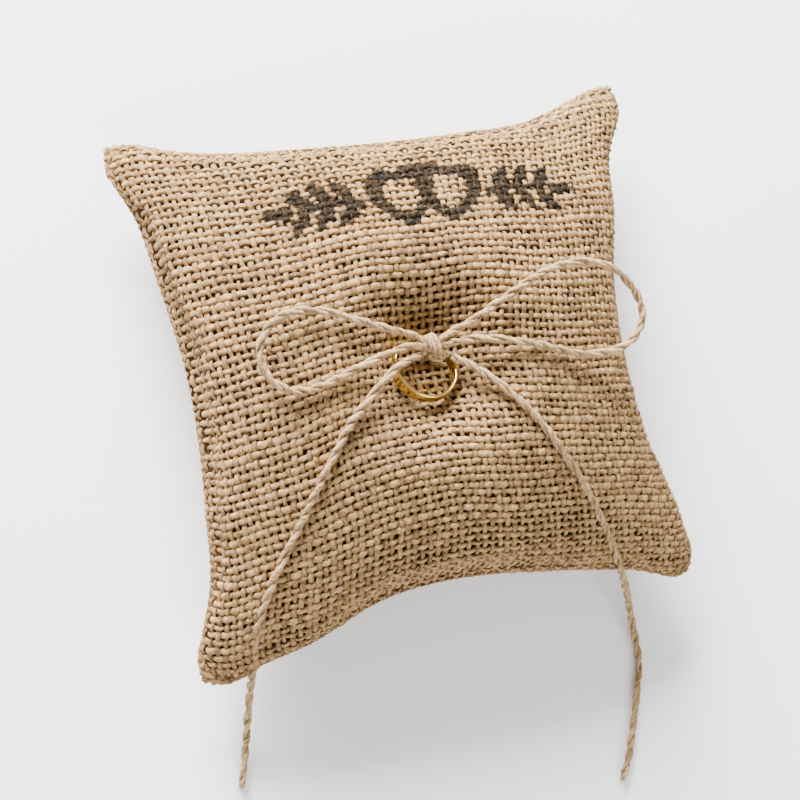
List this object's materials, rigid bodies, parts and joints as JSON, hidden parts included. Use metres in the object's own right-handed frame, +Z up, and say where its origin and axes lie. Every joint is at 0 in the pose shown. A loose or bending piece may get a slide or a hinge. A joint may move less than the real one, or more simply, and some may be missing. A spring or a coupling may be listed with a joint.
{
  "type": "ring bearer pillow",
  "caption": "Small stuffed hessian cushion with a dimpled middle, a twine bow tied through it and a wedding ring held under the knot.",
  "frame": {"origin": "centre of the cushion's footprint on the surface it lies on, under its flat back face; the twine's free lengths are left out of that box", "axes": "+Z up through the crown, +Y towards the edge with the printed ornament, +X to the right as the ornament is seen upright"},
  "size_m": [0.15, 0.2045, 0.0543],
  "materials": {
    "hessian": "coarse plain-weave jute hessian, matt, with a black ink ornament printed on the front",
    "calico": "plain brown cotton lining, matt",
    "wadding": "loose polyester fibre",
    "thread": "tan sewing thread",
    "jute": "two-ply twisted jute twine, hairy, slightly glossy fibres",
    "gold": "polished yellow gold colour"
  },
  "bodies": {
    "root": {"front_panel": "hessian", "back_panel": "hessian", "lining_front": "calico", "lining_back": "calico", "filling": "wadding", "seam_thread": "thread", "closing_thread": "thread", "tuft_cord": "jute", "back_stitch": "jute", "bow_knot": "jute", "tail_left": "jute", "tail_right": "jute"},
    "ring": {"ring": "gold"},
    "loop_left": {"bow_loop_left": "jute"},
    "loop_right": {"bow_loop_right": "jute"}
  },
  "joints": [
    {"name": "ring_swing", "type": "hinge", "parent": "root", "child": "ring", "pos_m": [-0.001, 0.002, 0.0445], "axis": [0, 0, 1], "range_deg": [-12, 30]},
    {"name": "loop_left_lift", "type": "hinge", "parent": "root", "child": "loop_left", "pos_m": [-0.0008, 0.0029, 0.046], "axis": [0, 1, 0], "range_deg": [0, 50]},
    {"name": "loop_right_lift", "type": "hinge", "parent": "root", "child": "loop_right", "pos_m": [-0.0008, 0.0029, 0.046], "axis": [0, -1, 0], "range_deg": [0, 50]}
  ]
}
